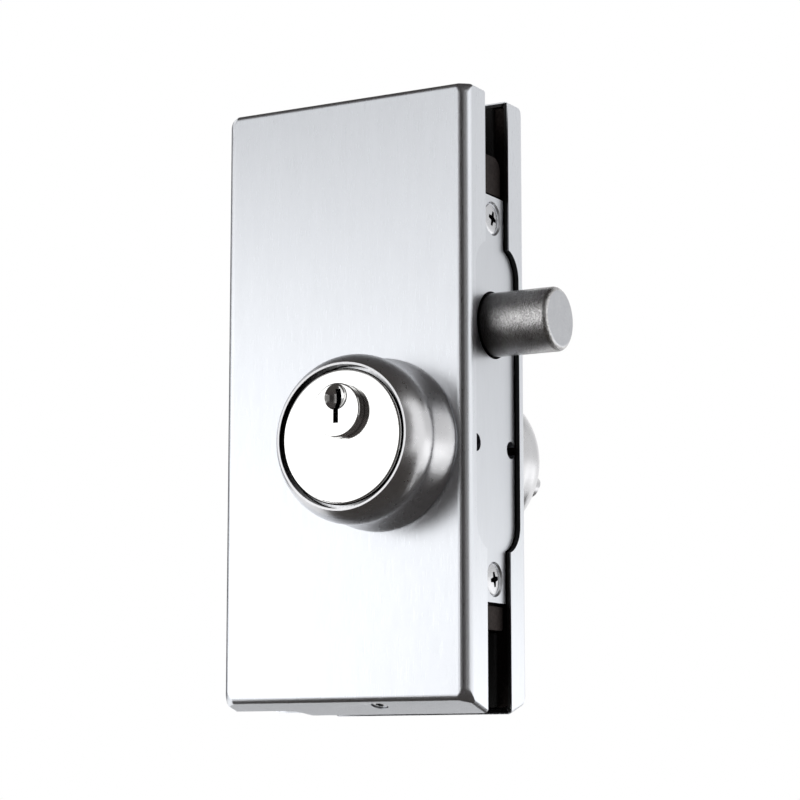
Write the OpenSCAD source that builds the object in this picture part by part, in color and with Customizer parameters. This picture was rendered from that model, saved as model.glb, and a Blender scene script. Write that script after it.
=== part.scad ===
// Glass door centre lock: two pressed covers over a clamped lock case, with a
// round deadbolt, a key cylinder on the front and a thumb-turn cylinder on the back.
// X runs across the door towards the bolt, Y through the glass from front to back, Z up.
// The origin is the middle of the glass slot, halfway up and across the covers.

/* [Covers] */
// Reach of both covers above the middle of the lock
cover_up = 82.5; // [80:0.5:90]
// Reach of both covers below the middle of the lock, at their rims
cover_down = 83.6; // [81:0.2:90]
// Lean of the bottom flange, from the face's lower edge down to the rim
bottom_lean = 3.4; // [1:0.2:4.6]
// Width of both covers
cover_w = 76; // [72:1:86]
// Depth of a cover from its face to its rim
cover_depth = 10.3; // [9.8:0.1:12]
// Thickness of the stainless sheet
sheet_t = 1.2; // [0.8:0.1:1.6]
// Outside radius of the bends at the sides of the face
bend_r = 3.2; // [2.4:0.1:4]
// Outside radius of the bends at the top and bottom of the face
end_bend_r = 1.6; // [1.4:0.1:2.6]
// Radius of the ground corner where two flanges meet
corner_r = 1; // [0.4:0.1:2]
// Length of the pry notch along the bottom flange
notch_l = 19; // [12:1:24]
// Depth of the pry notch from the rim
notch_d = 3.7; // [2:0.1:4.5]
// Height of the pry notch up the side flange
notch_h = 4; // [3.6:0.2:6]
// Diameter of the screw hole in the bottom flange
cover_hole_d = 4.6; // [4.4:0.1:5.4]
// Distance of that screw hole from the middle of the cover
cover_screw_x = 9.2; // [4:0.2:14]
// Distance of that screw hole behind the face
cover_screw_in = 4; // [3.8:0.1:5]

/* [Glass] */
// Thickness of the glass door that is clamped
glass_t = 12; // [10:1:13]
// Thickness of each gasket
gasket_t = 1.5; // [1:0.1:2]
// Air between the glass and a cover's rim
rim_gap = 0.7; // [0.3:0.1:1.2]

/* [Deadbolt] */
// Diameter of the round bolt
bolt_d = 17.2; // [14:0.1:18]
// Travel of the bolt, which is also how far it stands out
bolt_throw = 20; // [16:0.5:22]
// Radius round the end of the bolt
bolt_edge_r = 1.5; // [0.8:0.1:2.5]

/* [Forend] */
// Overall length of the forend
forend_l = 109.3; // [100:0.5:118]
// Gap between the forend and the covers round it
forend_gap = 0.5; // [0.3:0.1:1]
// Length of the wide middle of the forend
wide_l = 81.6; // [76:0.5:88]
// Width of the wide middle of the forend
wide_w = 23.8; // [23:0.1:25]
// Radius of the shoulders of the wide middle
shoulder_r = 7.4; // [5:0.1:8]
// Thickness of the forend
forend_t = 3; // [2:0.1:4]
// Step from the covers' side face back to the forend
forend_recess = 1.4; // [1.2:0.1:2]
// Distance of each forend screw from the forend's end
forend_screw_in = 6.1; // [5.5:0.1:8]

/* [Cylinders] */
// Distance from the forend's face to the cylinder axis
backset = 25; // [24:0.5:27]
// Distance of the cylinder axis below the middle of the lock
cyl_drop = 13.2; // [11:0.2:14]
// Outside diameter of the threaded cylinder body
cyl_d = 29.4; // [28.6:0.1:30]
// Diameter of the cylinder head
head_d = 35.6; // [33.5:0.1:36]
// Thickness of the cylinder head
head_t = 3.2; // [2:0.1:4]
// Radius round the edge of the cylinder head
head_edge_r = 0.8; // [0.3:0.1:1]
// Distance of the plug axis above the cylinder axis
plug_rise = 6.5; // [6:0.1:7]
// Diameter of the plug
plug_d = 12.7; // [12:0.1:13]
// Diameter of the plug's face
plug_face_d = 14.1; // [13.6:0.1:14.4]
// Distance that the plug stands out of the head
plug_out = 2.8; // [1.5:0.1:4]
// Width of the keyway
keyway_w = 1.5; // [1.2:0.1:2]

/* [Collars] */
// Distance that a collar stands out of its cover
collar_out = 20.3; // [18:0.1:22]
// Diameter of a collar where it meets the cover
collar_d = 46; // [45:0.2:48]
// Diameter of a collar at its waist
waist_d = 43.6; // [42.6:0.2:44.4]
// Diameter of the bulge in front of the waist
bulge_d = 44.6; // [44:0.2:46]
// Outside diameter of the thin front lip
lip_d = 38.6; // [38.2:0.1:39.4]
// Width of the lip's front
lip_t = 0.55; // [0.4:0.05:0.8]
// Angle that the bulge turns through from its widest ring to the lip
lip_turn = 45; // [40:1:60]

/* [Thumb-turn] */
// Length of the lever from the plug axis to its tip
lever_l = 20; // [17:0.5:22]
// Width of the lever over its hub
lever_w = 8; // [7:0.1:10]
// Distance that the lever stands off the plug
lever_h = 9.5; // [8:0.1:12]

/* [Hidden] */
$fn = 64;

// Overrun that lets a cut pass through a face
eps = 0.5;
// Clearances: a turning or sliding fit, a screw in its thread, a loose hole, a piece laid in its seat
run_gap = 0.05;
thread_gap = 0.05;
loose_gap = 0.3;
seat_gap = 0.5;

// Planes through the lock, as distances from the middle of the glass
rim_y = glass_t / 2 + rim_gap;
face_y = rim_y + cover_depth;
plate_in_y = glass_t / 2 + gasket_t;
plate_out_y = face_y - sheet_t;

// Bends on the inside of the sheet, and the leaning bottom flange
inner_bend_r = bend_r - sheet_t;
inner_end_r = max(0.2, end_bend_r - sheet_t);
face_low = cover_down - bottom_lean;
lean = atan(bottom_lean / cover_depth);

// Forend and case planes across the lock
side_x = cover_w / 2;
forend_x = side_x - forend_recess;
case_front_x = forend_x - forend_t;

// Cylinder and plug axes
cyl_x = forend_x - backset;
cyl_z = -cyl_drop;
cyl_r = cyl_d / 2;
plug_z = cyl_z + plug_rise;
plug_r = plug_d / 2;

// Cams: both swing half_turn either side of upright and carry the bolt tail with them
half_turn = 45;
cam_reach = bolt_throw / 2 / sin(half_turn);
cam_t = 2.3;
cam_hub_r = plug_r - 0.15;
cam_arm_w = 2.6;
nose_r = 2.5;
nose_gap = 0.7;
nose_top_gap = 0.86;
cam_screw_r = 1.25;
cam_screw_pitch = 3.6;
cam_head_r = 2.1;
cam_head_t = 1.2;

// Inner end of the cylinder body and of the plug
cyl_end_y = 5;
plug_end_y = cyl_end_y - 0.2;
cam_in_y = plug_end_y - cam_t;

// Bolt and tail
bolt_r = bolt_d / 2;
bolt_z = plug_z + cam_reach + nose_r + nose_top_gap + bolt_r;
bolt_under_z = bolt_z - bolt_r;
fork_x = cyl_x + bolt_throw / 2;
fork_half = nose_r + nose_gap;
leg_t = 2.6;
tail_half = fork_half + leg_t;
tail_half_y = plug_end_y - 0.4;
tail_back_x = fork_x - tail_half;
tail_bridge_t = 4;
tail_bottom_z = plug_z + cam_reach * cos(half_turn) - 0.6;
tail_screw_r = 2;
tail_screw_l = 10;
tail_slot_x = fork_x + tail_half + 0.5;
// The bolt's shank is turned down between a guide band at its back and its head
bolt_relief = 0.25;
bolt_band_l = 4;
bolt_head_x = forend_x + 0.4;

// Lock case
case_half_y = wide_w / 2 + 0.3;
pocket_y = 7.4;
pocket_r = cam_reach + nose_r + 1;
pocket_low_r = cyl_r + 0.5;
case_back_x = min(tail_back_x - bolt_throw - 6, cyl_x - pocket_r - 4);
bore_back_x = tail_back_x - bolt_throw - 1;
lid_top_z = bolt_under_z - 1.2;
lug_half_y = glass_t / 2;
lug_gap = 0.9;
lug_up = 10.5;
lug_down = 6.2;
lug_front_x = forend_x - 0.8;
lug_up_r = 3.5;
lug_down_r = 1;
lug_low_z = -(forend_l / 2 + lug_gap + lug_down);
lug_high_z = forend_l / 2 + lug_gap + lug_up;
lid_screw_r = 1.5;
lid_head_r = 2.7;
lid_screw_xs = [case_back_x + 3.6, case_front_x - 3.6];
lid_screw_in = 4;
lid_screw_up = 8;
lid_screw_zs = [lid_top_z - lid_screw_in, lid_screw_up - wide_l / 2];

// Clamping
clamp_screw_r = 2.5;
clamp_head_r = 5;
clamp_head_t = 2.8;
clamp_in = 13;
clamp_in_case = 15.2;
clamp_off = 9.7;
clamp_xs = [clamp_in - cover_w / 2, case_back_x + clamp_in_case];
clamp_zs = [-wide_l / 2 - clamp_off, wide_l / 2 + clamp_off];
sleeve_r = 5;
cover_screw_r = 2;
cover_screw_l = 8;
cover_screw_sink = 0.3;

// Forend screws and cylinder screws
forend_screw_z = forend_l / 2 - forend_screw_in;
forend_screw_r = 2.1;
forend_head_r = 4.25;
forend_head_t = 2.2;
forend_sink_gap = 0.4;
forend_cross_l = 4.6;
forend_cross_w = 1.1;
forend_cross_d = 2;
forend_screw_len = 14;
cyl_screw_r = 2;
cyl_screw_y = wide_w / 2 - 2.1;
cyl_screw_hole_r = 2.35;
cyl_groove_d = 0.9;

// Cylinder heads, as distances from the middle of the glass
lip_inset = 0.3;
head_face_y = face_y + collar_out - lip_inset;
head_back_y = head_face_y - head_t;
plug_face_y = head_face_y + plug_out;
plug_seat = 1.5;
plug_flange_r = plug_face_d / 2;
shear_r = plug_r + run_gap;

// Pin stacks
pin_r = 1.45;
chamber_r = 1.5;
pin_pitch = 4.1;
pin_first_in = 9;
pin_first_y = cyl_end_y + pin_first_in;
key_pin_ls = [3.4, 4.6, 3.8, 5, 4.2];
driver_l = 4.6;
chamber_end_z = cyl_z - cyl_r + 1.6;
keyway_low = -3.4;
keyway_high = 5.6;

// Screw of the thumb-turn, and how far it runs into the plug
turn_screw_r = 2;
turn_head_r = 3.5;
turn_head_t = 1.8;
turn_screw_in = 9;

// Collars, as distances out of the cover's face
collar_bore_r = lip_d / 2 - lip_t;
collar_web_t = 1.6;
collar_foot = 1.2;
foot_chamfer = 0.35;
ring_t = 2.6;
ring_top = collar_out - lip_inset - head_t;
spring_wire_r = 0.8;

// Flat shapes are drawn in the plane across the named axis, then run along it
module along_x(from, to) {
    translate([from, 0, 0]) rotate([90, 0, 90]) linear_extrude(to - from) children();
}

module along_y(from, to) {
    translate([0, to, 0]) rotate([90, 0, 0]) linear_extrude(to - from) children();
}

module along_z(from, to) {
    translate([0, 0, from]) linear_extrude(to - from) children();
}

module round_rect(w, h, r) {
    square([w - 2 * r, h], center = true);
    square([w, h - 2 * r], center = true);
    for (sx = [-1, 1], sy = [-1, 1])
        translate([sx * (w / 2 - r), sy * (h / 2 - r)]) circle(r);
}

// A rod along Y between two depths
module rod_y(x, z, from, to, r) {
    translate([x, from, z]) rotate([-90, 0, 0]) cylinder(r = r, h = to - from);
}

// A rod along X between two places
module rod_x(y, z, from, to, r) {
    translate([from, y, z]) rotate([0, 90, 0]) cylinder(r = r, h = to - from);
}

// Turns a piece that was drawn on the front round to the back
module on_back() {
    mirror([0, 1, 0]) children();
}

// Cross-section of a tray: flat floor at -deep, open at -shallow, with rounded floor edges
module tray_section(w, deep, shallow, r) {
    translate([-w / 2, -deep + r]) square([w, deep - r - shallow]);
    translate([-w / 2 + r, -deep]) square([w - 2 * r, r + 0.01]);
    for (s = [-1, 1]) translate([s * (w / 2 - r), -deep + r]) circle(r);
}

// Height of the bottom flange at a depth in the front cover, set in from its outside
function flange_z(y, inset) =
    -face_low - (y + face_y) * bottom_lean / cover_depth + inset / cos(lean);

// Section of a cover from top to bottom: square at the top, leaning out at the bottom
module end_section(deep, shallow, inset, r) {
    mid_y = r - deep;
    low_z = flange_z(mid_y, inset) + r / cos(lean);
    top_z = cover_up - inset;
    polygon([
        [-deep, low_z],
        [mid_y - r * sin(lean), low_z - r * cos(lean)],
        [-shallow, flange_z(-shallow, inset)],
        [-shallow, top_z],
        [mid_y, top_z],
        [-deep, top_z - r]
    ]);
    for (z = [low_z, top_z - r]) translate([mid_y, z]) circle(r);
}

// Long plate whose upper end has two ground corners
module end_plan(w, end) {
    long = cover_up + cover_down;
    translate([-w / 2, end - long]) square([w, long - corner_r]);
    translate([corner_r - w / 2, end - 2 * corner_r]) square([w - 2 * corner_r, 2 * corner_r]);
    for (s = [-1, 1]) translate([s * (w / 2 - corner_r), end - corner_r]) circle(corner_r);
}

// Turns what lies on the bottom flange to the flange's lean, about the face's lower edge
module on_flange(inset) {
    translate([0, -face_y, flange_z(-face_y, inset)]) rotate([-lean, 0, 0]) children();
}

// Block with the rounded face of a tray, shared by the covers and what fills them
module tray_form(w, deep, shallow, inset, side_r, end_r) {
    intersection() {
        along_z(-cover_down - eps, cover_up + eps) tray_section(w, deep, shallow, side_r);
        along_x(-w / 2, w / 2) end_section(deep, shallow, inset, end_r);
        along_y(-deep, -shallow) end_plan(w, cover_up - inset);
        on_flange(inset) along_y(-cover_up, 2 * cover_depth) mirror([0, 1]) end_plan(w, 0);
    }
}

module forend_wide(extra) {
    round_rect(wide_w + 2 * extra, wide_l + 2 * extra, shoulder_r + extra);
}

// Place of the front cover's screw, a depth in from the flange's outside and square to it
module at_cover_screw(depth) {
    on_flange(0) translate([cover_screw_x, cover_screw_in / cos(lean), depth]) children();
}

// Cover: a tray of sheet with a cylinder hole, forend cut-out, screw hole and pry notch
module cover() {
    notch_end_x = notch_l - cover_w / 2;
    notch_y = -(rim_y + notch_d);
    difference() {
        tray_form(cover_w, face_y, rim_y, 0, bend_r, end_bend_r);
        tray_form(cover_w - 2 * sheet_t, face_y - sheet_t, rim_y - eps, sheet_t,
            inner_bend_r, inner_end_r);
        rod_y(cyl_x, cyl_z, -face_y - eps, -rim_y, cyl_r + 0.8);
        along_x(side_x - sheet_t - eps, side_x + eps) forend_wide(forend_gap);
        at_cover_screw(-eps) cylinder(d = cover_hole_d, h = sheet_t + 2 * eps);
        along_z(-cover_down - eps, -cover_down + notch_h)
            polygon([
                [-side_x - eps, notch_y],
                [notch_end_x, notch_y],
                [notch_end_x + notch_d, -rim_y],
                [notch_end_x + notch_d + eps, -rim_y + eps],
                [-side_x - eps, -rim_y + eps]
            ]);
    }
}

module front_cover() {
    color("gainsboro") cover();
}

module back_cover() {
    color("gainsboro") on_back() cover();
}

// The glass is notched round the case, and what meets the glass follows the notch
module glass_notch(gap) {
    translate([case_back_x - gap, lug_low_z - gap])
        square([cover_w, lug_high_z - lug_low_z + 2 * gap]);
}

// Clamp plate: a casting that fills the cover, pocketed for the case and cored to save metal,
// with two pads that meet the case's lugs where the glass is notched
module clamp_plate(screw_r) {
    plate_w = cover_w - 2 * sheet_t - 2 * loose_gap;
    core_d = 5;
    core_wall = 4;
    core_r = 3;
    side_core_in = 5;
    core_low = clamp_zs[1] + clamp_head_r + 3.3;
    core_xs = [[-plate_w / 2 + 5, cover_screw_x - 6], [cover_screw_x + 6, plate_w / 2 - 5]];
    difference() {
        union() {
            tray_form(plate_w, plate_out_y, plate_in_y, sheet_t + loose_gap,
                inner_bend_r, inner_end_r);
            along_y(-plate_in_y - 0.1, -lug_half_y) intersection() {
                glass_notch(0);
                translate([-cover_w / 2, -cover_down])
                    square([cover_w / 2 + case_front_x - loose_gap, cover_up + cover_down]);
            }
        }
        along_y(-case_half_y - seat_gap, -lug_half_y + eps)
            translate([case_back_x - seat_gap, -wide_l / 2 - seat_gap])
                square([cover_w, wide_l + 2 * seat_gap]);
        rod_y(cyl_x, cyl_z, -plate_out_y - eps, -plate_in_y, cyl_r + 0.8);
        for (x = clamp_xs, z = clamp_zs)
            rod_y(x, z, -plate_out_y - eps, -lug_half_y + eps, screw_r);
        at_cover_screw(-eps)
            cylinder(r = cover_screw_r + thread_gap, h = cover_screw_l + cover_screw_sink + 2 * eps);
        for (xs = core_xs, end = [-face_low, cover_up]) {
            core_high = abs(end) - sheet_t - loose_gap - core_wall;
            along_y(-plate_out_y - eps, -plate_out_y + core_d)
                translate([(xs[0] + xs[1]) / 2, sign(end) * (core_low + core_high) / 2])
                    round_rect(xs[1] - xs[0], core_high - core_low, core_r);
        }
        along_y(-plate_out_y - eps, -plate_out_y + core_d)
            translate([(case_back_x - plate_w / 2) / 2, 0])
                round_rect(plate_w / 2 + case_back_x - 2 * side_core_in,
                    wide_l - 2 * side_core_in, core_r);
    }
}

module front_clamp_plate() {
    color("dimgray") difference() {
        clamp_plate(clamp_screw_r + loose_gap);
        for (x = clamp_xs, z = clamp_zs)
            translate([x, -plate_out_y - 0.01, z]) rotate([-90, 0, 0])
                cylinder(r1 = clamp_head_r + 0.15, r2 = clamp_screw_r + 0.15, h = clamp_head_t);
    }
}

module back_clamp_plate() {
    color("dimgray") on_back() clamp_plate(clamp_screw_r + thread_gap);
}

// Gasket: a sheet between plate and glass, cut away with the glass's notch
module gasket() {
    inset = sheet_t + loose_gap;
    low_z = flange_z(-plate_in_y, inset);
    along_y(-plate_in_y, -glass_t / 2) difference() {
        translate([inset - cover_w / 2, low_z])
            square([cover_w / 2 - inset + case_front_x - loose_gap, cover_up - inset - low_z]);
        glass_notch(seat_gap);
        for (z = clamp_zs) translate([clamp_xs[0], z]) circle(sleeve_r + 0.2);
    }
}

module front_gasket() {
    color("black") gasket();
}

module back_gasket() {
    color("black") on_back() gasket();
}

// Countersunk screws that pull the two plates together
module clamp_screws() {
    color("slategray") for (x = clamp_xs, z = clamp_zs)
        translate([x, -plate_out_y, z]) rotate([-90, 0, 0]) difference() {
            union() {
                cylinder(r1 = clamp_head_r, r2 = clamp_screw_r, h = clamp_head_t);
                cylinder(r = clamp_screw_r, h = 2 * plate_out_y - 1.5);
            }
            translate([0, 0, -eps]) cylinder(r = 1.7, h = 2.2 + eps, $fn = 6);
        }
}

// Sleeves that keep the screws off the glass
module clamp_sleeves() {
    color("whitesmoke") for (z = clamp_zs)
        along_y(-plate_in_y, plate_in_y)
            translate([clamp_xs[0], z]) difference() {
                circle(sleeve_r);
                circle(clamp_screw_r + loose_gap);
            }
}

// Grub screws that hold the covers by their bottom flanges
module cover_screw() {
    at_cover_screw(cover_screw_sink) difference() {
        cylinder(r = cover_screw_r, h = cover_screw_l);
        translate([0, 0, -eps]) cylinder(r = 1.15, h = 2.5 + eps, $fn = 6);
    }
}

module cover_screws() {
    color("silver") {
        cover_screw();
        on_back() cover_screw();
    }
}

// Outside of the wide middle of the case
module case_block(from_y, to_y, low_z, high_z) {
    intersection() {
        along_x(case_back_x, case_front_x)
            round_rect(2 * case_half_y, wide_l, shoulder_r);
        along_y(from_y, to_y)
            translate([case_back_x, low_z]) square([case_front_x - case_back_x, high_z - low_z]);
    }
}

// Section of the slim lugs above and below the wide middle
module lug_section(low_z, high_z) {
    translate([-lug_half_y, low_z + lug_down_r])
        square([2 * lug_half_y, high_z - low_z - lug_up_r - lug_down_r]);
    translate([-lug_half_y + lug_up_r, low_z])
        square([2 * (lug_half_y - lug_up_r), high_z - low_z]);
    translate([-lug_half_y + lug_down_r, low_z])
        square([2 * (lug_half_y - lug_down_r), lug_down_r + 0.01]);
    for (s = [-1, 1]) {
        translate([s * (lug_half_y - lug_up_r), high_z - lug_up_r]) circle(lug_up_r);
        translate([s * (lug_half_y - lug_down_r), low_z + lug_down_r]) circle(lug_down_r);
    }
}

// Lock case: a casting bored for the bolt and pocketed for the cams, open at the back
module lock_case() {
    color("darkslategray") difference() {
        union() {
            case_block(-case_half_y, case_half_y, -wide_l / 2, wide_l / 2);
            along_x(case_back_x, lug_front_x) lug_section(lug_low_z, lug_high_z);
        }
        // Seat of the forend
        translate([case_front_x, -case_half_y - eps, -forend_l / 2 - lug_gap])
            cube([forend_t, 2 * (case_half_y + eps), forend_l + 2 * lug_gap]);
        // Bore of the bolt, with a slot under it for the tail
        rod_x(0, bolt_z, bore_back_x, case_front_x + eps, bolt_r + run_gap);
        translate([bore_back_x, -tail_half_y - loose_gap, tail_bottom_z - 1])
            cube([tail_slot_x - bore_back_x, 2 * (tail_half_y + loose_gap),
                bolt_z - tail_bottom_z + 1]);
        // Pocket of the cams and cylinder ends
        rod_y(cyl_x, plug_z, -pocket_y, pocket_y, pocket_r);
        rod_y(cyl_x, cyl_z, -pocket_y, pocket_y, pocket_low_r);
        // Seat of the lid
        translate([case_back_x - eps, pocket_y, -wide_l])
            cube([case_front_x - case_back_x + 2 * eps, case_half_y, wide_l + lid_top_z]);
        // Thread of the front cylinder
        rod_y(cyl_x, cyl_z, -case_half_y - eps, -pocket_y + eps, cyl_r + thread_gap);
        // Room for the friction spring
        translate([spring_back_x - 1, -spring_w / 2 - loose_gap, bolt_z])
            cube([spring_l + 2, spring_w + 2 * loose_gap, bolt_r + spring_rise + loose_gap]);
        for (x = lid_screw_xs, z = lid_screw_zs)
            rod_y(x, z, 1, pocket_y + eps, lid_screw_r + thread_gap);
        for (z = clamp_zs)
            rod_y(clamp_xs[1], z, -case_half_y, case_half_y, clamp_screw_r + loose_gap);
        for (s = [-1, 1]) {
            rod_x(0, s * forend_screw_z, case_front_x - forend_screw_len, case_front_x + eps,
                forend_screw_r + thread_gap);
            rod_x(s * cyl_screw_y, cyl_z, cyl_x, case_front_x + eps, cyl_screw_r + thread_gap);
        }
    }
}

// Lid of the case, threaded for the back cylinder
module case_lid() {
    color("darkslategray") difference() {
        case_block(pocket_y, case_half_y, -wide_l / 2, lid_top_z - 0.1);
        rod_y(cyl_x, cyl_z, pocket_y - eps, case_half_y + eps, cyl_r + thread_gap);
        rod_x(cyl_screw_y, cyl_z, cyl_x, case_front_x + eps, cyl_screw_r + thread_gap);
        for (x = lid_screw_xs, z = lid_screw_zs) {
            rod_y(x, z, pocket_y - eps, case_half_y + eps, lid_screw_r + 0.15);
            translate([x, case_half_y - 1.8, z]) rotate([-90, 0, 0])
                cylinder(r1 = lid_screw_r + 0.15, r2 = lid_head_r + 0.3, h = 1.81);
        }
    }
}

module lid_screws() {
    color("slategray") for (x = lid_screw_xs, z = lid_screw_zs)
        translate([x, 0, z]) rotate([-90, 0, 0]) difference() {
            union() {
                translate([0, 0, 2]) cylinder(r = lid_screw_r, h = case_half_y - 2.3);
                translate([0, 0, case_half_y - 1.8])
                    cylinder(r1 = lid_screw_r, r2 = lid_head_r, h = 1.5);
            }
            translate([0, 0, case_half_y - 1.5]) cross_recess(2.8, 0.8, 2);
        }
}

// Cross-shaped driver recess that opens upwards
module cross_recess(span, width, depth) {
    for (a = [0, 90]) rotate(a)
        translate([-span / 2, -width / 2, 0]) cube([span, width, depth]);
}

// Forend: the front plate over the case
module forend() {
    color("lightgray") difference() {
        along_x(case_front_x, forend_x) {
            square([2 * (rim_y - forend_gap), forend_l], center = true);
            forend_wide(0);
        }
        rod_x(0, bolt_z, case_front_x - eps, forend_x + eps, bolt_r + 0.5);
        for (s = [-1, 1]) {
            rod_x(s * cyl_screw_y, cyl_z, case_front_x - eps, forend_x + eps, cyl_screw_hole_r);
            rod_x(0, s * forend_screw_z, case_front_x - eps, forend_x, forend_screw_r + 0.15);
            translate([forend_x - forend_head_t - 0.1, 0, s * forend_screw_z]) rotate([0, 90, 0])
                cylinder(r1 = forend_screw_r + forend_sink_gap - 0.1, h = forend_head_t + 0.11,
                    r2 = forend_head_r + forend_sink_gap);
        }
    }
}

module forend_screws() {
    color("silver") for (s = [-1, 1])
        translate([forend_x, 0, s * forend_screw_z]) rotate([0, -90, 0]) difference() {
            union() {
                cylinder(r1 = forend_head_r, r2 = forend_screw_r, h = forend_head_t);
                cylinder(r = forend_screw_r, h = forend_screw_len);
            }
            translate([0, 0, -eps]) rotate(20)
                cross_recess(forend_cross_l, forend_cross_w, forend_cross_d + eps);
        }
}

// Grub screws through the forend that lock the two cylinders
module cylinder_screws() {
    tip_x = cyl_x + cyl_r - cyl_groove_d + 0.1;
    head_x = forend_x - 2;
    color("black") for (s = [-1, 1]) difference() {
        union() {
            rod_x(s * cyl_screw_y, cyl_z, tip_x + 1.5, head_x, cyl_screw_r);
            rod_x(s * cyl_screw_y, cyl_z, tip_x, tip_x + 1.6, 1.4);
        }
        translate([head_x - 2, s * cyl_screw_y, cyl_z]) rotate([0, 90, 0])
            cylinder(r = 1.15, h = 2 + eps, $fn = 6);
    }
}

// Leaf spring that drags on the bolt so that it stays where it is put
spring_l = 24;
spring_w = 6;
spring_t = 0.5;
spring_rise = 3;
spring_back_x = fork_x - spring_l / 2 - 4;
spring_arc_r = (pow(spring_l / 2, 2) + pow(spring_rise - spring_t, 2)) / (2 * (spring_rise - spring_t));

module friction_spring() {
    touch_z = bolt_z + bolt_r + loose_gap;
    color("lightsteelblue") along_y(-spring_w / 2, spring_w / 2) intersection() {
        translate([spring_back_x + spring_l / 2, touch_z + spring_arc_r]) difference() {
            circle(spring_arc_r, $fn = 128);
            circle(spring_arc_r - spring_t, $fn = 128);
        }
        translate([spring_back_x, touch_z - 1]) square([spring_l, spring_rise + 1]);
    }
}

// Round bolt with a rebate for the tail under its inner end
module deadbolt() {
    tip_x = forend_x + bolt_throw;
    len = tip_x - tail_back_x;
    head_from = bolt_head_x - tail_back_x;
    color("dimgray") difference() {
        translate([tail_back_x, 0, bolt_z]) rotate([0, 90, 0]) rotate_extrude() {
            square([bolt_r - bolt_edge_r, len]);
            square([bolt_r - bolt_relief, head_from + 0.1]);
            square([bolt_r, bolt_band_l]);
            translate([0, head_from]) square([bolt_r, len - head_from - bolt_edge_r]);
            translate([bolt_r - bolt_edge_r, len - bolt_edge_r]) circle(bolt_edge_r);
        }
        translate([tail_back_x - eps, -bolt_r - eps, bolt_under_z - eps])
            cube([2 * tail_half + 0.1 + eps, bolt_d + 2 * eps, tail_bridge_t + eps]);
        translate([fork_x, 0, bolt_under_z]) cylinder(r = tail_screw_r + thread_gap, h = tail_screw_l + 1);
    }
}

// Forked tail that the cam noses carry to and fro
module bolt_tail() {
    color("silver") difference() {
        along_y(-tail_half_y, tail_half_y) difference() {
            translate([tail_back_x, tail_bottom_z])
                square([2 * tail_half, bolt_under_z + tail_bridge_t - tail_bottom_z]);
            translate([fork_x - fork_half, tail_bottom_z - eps])
                square([2 * fork_half, bolt_under_z - tail_bottom_z + eps]);
        }
        translate([fork_x, 0, bolt_under_z - eps])
            cylinder(r = tail_screw_r + 0.1, h = tail_bridge_t + 2 * eps);
        translate([fork_x, 0, bolt_under_z - 0.01])
            cylinder(r1 = 3.9, r2 = tail_screw_r + 0.1, h = 1.9);
    }
}

module tail_screw() {
    color("slategray") translate([fork_x, 0, bolt_under_z]) difference() {
        union() {
            cylinder(r1 = 3.7, r2 = tail_screw_r, h = 1.8);
            cylinder(r = tail_screw_r, h = tail_screw_l);
        }
        translate([0, 0, -eps]) cylinder(r = 1.2, h = 1.8 + eps, $fn = 6);
    }
}

// Body of a mortise cylinder: threaded barrel, round head, plug bore and screw groove
module cylinder_body() {
    difference() {
        union() {
            rod_y(cyl_x, cyl_z, -head_back_y - 0.1, -cyl_end_y, cyl_r);
            translate([cyl_x, -head_back_y, cyl_z]) rotate([90, 0, 0]) rotate_extrude() {
                square([head_d / 2, head_t - head_edge_r]);
                square([head_d / 2 - head_edge_r, head_t]);
                translate([head_d / 2 - head_edge_r, head_t - head_edge_r]) circle(head_edge_r);
            }
        }
        rod_y(cyl_x, plug_z, -head_face_y - eps, -cyl_end_y + eps, shear_r);
        rod_y(cyl_x, plug_z, -head_face_y - eps, -head_face_y + plug_seat, plug_flange_r + 0.1);
        translate([cyl_x + cyl_r - cyl_groove_d, -head_back_y + 1, cyl_z - 1.6])
            cube([cyl_groove_d + eps, head_back_y - cyl_end_y, 3.2]);
    }
}

function pin_y(i) = -(pin_first_y + i * pin_pitch);

// Holes for the five pin stacks, from one height down to another
module chambers(from_z, to_z) {
    for (i = [0 : len(key_pin_ls) - 1])
        translate([cyl_x, pin_y(i), to_z]) cylinder(r = chamber_r, h = from_z - to_z);
}

module front_cylinder() {
    color("gainsboro") difference() {
        cylinder_body();
        chambers(plug_z, chamber_end_z);
    }
}

module back_cylinder() {
    color("gainsboro") on_back() cylinder_body();
}

// Plug that turns in a cylinder body and carries a cam on its inner end
module plug_blank() {
    difference() {
        union() {
            rod_y(cyl_x, plug_z, -head_face_y, -plug_end_y, plug_r);
            translate([cyl_x, -head_face_y + plug_seat - 0.1, plug_z]) rotate([90, 0, 0])
                rotate_extrude() {
                    square([plug_flange_r, plug_out + plug_seat - 0.5]);
                    square([plug_flange_r - 0.4, plug_out + plug_seat - 0.1]);
                    translate([plug_flange_r - 0.4, plug_out + plug_seat - 0.5]) circle(0.4);
                }
        }
        for (s = [-1, 1])
            translate([cyl_x, 0, plug_z]) rotate([0, half_turn, 0])
                rod_y(s * cam_screw_pitch, 0, -plug_end_y - 6, -plug_end_y + eps,
                    cam_screw_r + thread_gap);
    }
}

module key_plug() {
    scoop_r = 4.2;
    scoop_face_r = 3.4;
    color("gainsboro") difference() {
        plug_blank();
        translate([cyl_x - keyway_w / 2, -plug_face_y - eps, plug_z + keyway_low])
            cube([keyway_w, plug_face_y - cyl_end_y - 6, keyway_high - keyway_low]);
        translate([cyl_x, -plug_face_y - sqrt(scoop_r * scoop_r - scoop_face_r * scoop_face_r),
            plug_z + scoop_face_r]) sphere(scoop_r);
        chambers(plug_z - 0.6, plug_z - plug_r - eps);
    }
}

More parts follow.
